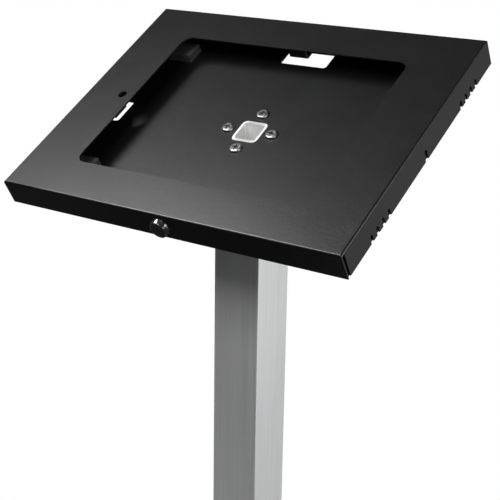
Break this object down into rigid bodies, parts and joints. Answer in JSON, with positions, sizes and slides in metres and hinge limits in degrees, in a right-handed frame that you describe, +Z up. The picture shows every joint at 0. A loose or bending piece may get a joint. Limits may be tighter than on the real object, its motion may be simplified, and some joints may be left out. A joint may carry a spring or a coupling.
{
  "type": "tablet kiosk stand",
  "caption": "Lockable tablet kiosk floor stand: a sloped folded steel enclosure with a display window, tip-up cover and cam lock on a silver column and flat base.",
  "frame": {"origin": "on the floor, on the axis of the column and the middle of the base plate", "axes": "+Z up along the column, -Y the front that the user faces, +X the user's right"},
  "size_m": [0.4, 0.32, 1.1547],
  "materials": {
    "powder_black": "black powder coat with a fine texture on folded steel",
    "silver_tube": "satin silver, drawn along the tube",
    "plate_steel": "bright ground steel",
    "zinc_steel": "bright zinc plate",
    "lock_nickel": "polished dark nickel",
    "rubber_black": "moulded matt rubber"
  },
  "bodies": {
    "stand": {"base_plate": "powder_black", "base_foot_front_left": "rubber_black", "base_foot_front_right": "rubber_black", "base_foot_rear_left": "rubber_black", "base_foot_rear_right": "rubber_black", "base_bolts": "zinc_steel", "column_insert": "zinc_steel", "column": "silver_tube", "cable_grommet": "rubber_black", "head_plate": "plate_steel", "tray": "powder_black", "tray_screws": "zinc_steel", "bumper_front_left": "rubber_black", "bumper_front_right": "rubber_black", "bumper_rear_left": "rubber_black", "bumper_rear_right": "rubber_black", "lock_keeper": "zinc_steel", "keeper_rivets": "zinc_steel"},
    "cover": {"cover": "powder_black", "rear_hook": "powder_black", "left_lug": "powder_black", "right_lug": "powder_black", "lock_barrel": "lock_nickel", "lock_washer": "zinc_steel", "lock_nut": "zinc_steel"},
    "lock": {"lock_plug": "lock_nickel", "lock_cam": "zinc_steel", "cam_screw": "zinc_steel"}
  },
  "joints": [
    {"name": "cover_tip", "type": "hinge", "parent": "stand", "child": "cover", "pos_m": [0, 0.07876, 1.13169], "axis": [-1, 0, 0], "range_deg": [0, 70]},
    {"name": "lock_turn", "type": "hinge", "parent": "cover", "child": "lock", "pos_m": [0, -0.10953, 1.03522], "axis": [0, -0.866, -0.5], "range_deg": [0, 90]}
  ]
}
